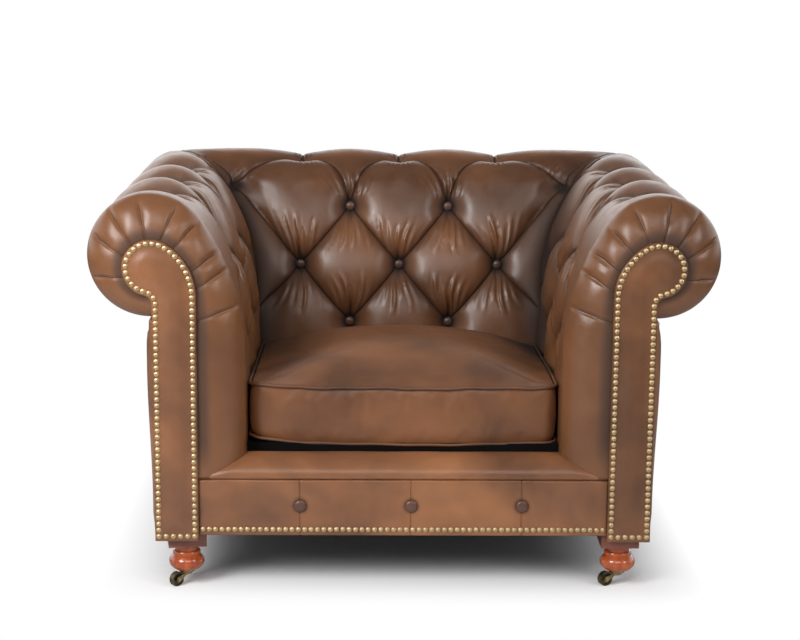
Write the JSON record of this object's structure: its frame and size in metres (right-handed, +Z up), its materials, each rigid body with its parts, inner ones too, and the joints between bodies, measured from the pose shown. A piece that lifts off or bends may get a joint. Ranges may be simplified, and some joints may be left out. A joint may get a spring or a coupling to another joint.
{
  "type": "upholstered armchair",
  "caption": "Low leather club armchair with deep-buttoned rolled arms and back of one height, a loose box cushion, nail-trimmed front facings, turned bun feet and castors.",
  "frame": {"origin": "on the floor, under the middle of the chair's bounding box", "axes": "+Z up, the front of the chair faces -Y, +X to the right of somebody who faces the chair"},
  "size_m": [1.12, 0.912, 0.7114],
  "materials": {
    "frame_wood": "sawn",
    "block_wood": "sawn",
    "spring_steel": "dark drawn wire",
    "bolt_steel": "zinc plated",
    "webbing": "woven jute",
    "deck_cloth": "dark platform cloth",
    "dust_cloth": "black cloth",
    "filling": "soft filling",
    "piping_leather": "semi-gloss",
    "button_leather": "semi-gloss",
    "nail_brass": "antiqued",
    "plinth_wood": "satin",
    "foot_wood": "gloss varnish",
    "wheel_brass": "antiqued",
    "castor_brass": "antiqued",
    "facing_leather": "semi-gloss",
    "leather": "semi-gloss, hand antiqued"
  },
  "bodies": {
    "frame": {"front_rail": "frame_wood", "back_rail": "frame_wood", "side_rail_left": "frame_wood", "side_rail_right": "frame_wood", "corner_blocks": "block_wood", "front_post_left": "frame_wood", "front_post_right": "frame_wood", "back_post_left": "frame_wood", "back_post_right": "frame_wood", "scroll_boards": "block_wood", "arm_top_rails": "frame_wood", "back_top_rail": "frame_wood", "arm_stuffing_rails": "frame_wood", "back_stuffing_rail": "frame_wood", "seat_springs": "spring_steel", "spring_clips": "bolt_steel", "back_webbing": "webbing", "arm_webbing": "webbing", "seat_deck": "deck_cloth", "dust_cover": "dust_cloth", "arm_pad_left": "leather", "arm_pad_right": "leather", "back_pad": "leather", "outside_arm_left": "leather", "outside_arm_right": "leather", "outside_back": "leather", "seat_border": "leather", "rail_cover": "facing_leather", "rail_buttons": "button_leather", "arm_facing_left": "facing_leather", "arm_facing_right": "facing_leather", "facing_nails_left": "nail_brass", "facing_nails_right": "nail_brass", "rail_nails": "nail_brass", "back_buttons": "button_leather", "arm_buttons_left": "button_leather", "arm_buttons_right": "button_leather", "foot_plinths": "plinth_wood", "foot_front_left": "foot_wood", "foot_front_right": "foot_wood", "foot_back_left": "foot_wood", "foot_back_right": "foot_wood", "foot_bolts": "bolt_steel", "castor_plates": "castor_brass"},
    "cushion": {"cushion_cover": "leather", "cushion_core": "filling", "cushion_piping": "piping_leather"},
    "castor_front_left": {"castor_horn_front_left": "castor_brass", "castor_axle_front_left": "castor_brass"},
    "wheel_front_left": {"castor_wheel_front_left": "wheel_brass"},
    "castor_front_right": {"castor_horn_front_right": "castor_brass", "castor_axle_front_right": "castor_brass"},
    "wheel_front_right": {"castor_wheel_front_right": "wheel_brass"},
    "castor_back_left": {"castor_horn_back_left": "castor_brass", "castor_axle_back_left": "castor_brass"},
    "wheel_back_left": {"castor_wheel_back_left": "wheel_brass"},
    "castor_back_right": {"castor_horn_back_right": "castor_brass", "castor_axle_back_right": "castor_brass"},
    "wheel_back_right": {"castor_wheel_back_right": "wheel_brass"}
  },
  "joints": [
    {"name": "cushion_lift", "type": "slide", "parent": "frame", "child": "cushion", "axis": [0, 0, 1], "range_m": [0, 0.35]},
    {"name": "swivel_front_left", "type": "hinge", "parent": "frame", "child": "castor_front_left", "pos_m": [-0.391, -0.4025, 0.02], "axis": [0, 0, 1], "continuous": true},
    {"name": "roll_front_left", "type": "hinge", "parent": "castor_front_left", "child": "wheel_front_left", "pos_m": [-0.40805, -0.42078, 0.013], "axis": [0.7314, -0.682, 0], "continuous": true},
    {"name": "swivel_front_right", "type": "hinge", "parent": "frame", "child": "castor_front_right", "pos_m": [0.391, -0.4025, 0.02], "axis": [0, 0, 1], "continuous": true},
    {"name": "roll_front_right", "type": "hinge", "parent": "castor_front_right", "child": "wheel_front_right", "pos_m": [0.36834, -0.41307, 0.013], "axis": [0.4226, -0.9063, 0], "continuous": true},
    {"name": "swivel_back_left", "type": "hinge", "parent": "frame", "child": "castor_back_left", "pos_m": [-0.391, 0.287, 0.02], "axis": [0, 0, 1], "continuous": true},
    {"name": "roll_back_left", "type": "hinge", "parent": "castor_back_left", "child": "wheel_back_left", "pos_m": [-0.38666, 0.31162, 0.013], "axis": [-0.9848, 0.1736, 0], "continuous": true},
    {"name": "swivel_back_right", "type": "hinge", "parent": "frame", "child": "castor_back_right", "pos_m": [0.391, 0.287, 0.02], "axis": [0, 0, 1], "continuous": true},
    {"name": "roll_back_right", "type": "hinge", "parent": "castor_back_right", "child": "wheel_back_right", "pos_m": [0.38666, 0.31162, 0.013], "axis": [-0.9848, -0.1736, 0], "continuous": true}
  ]
}
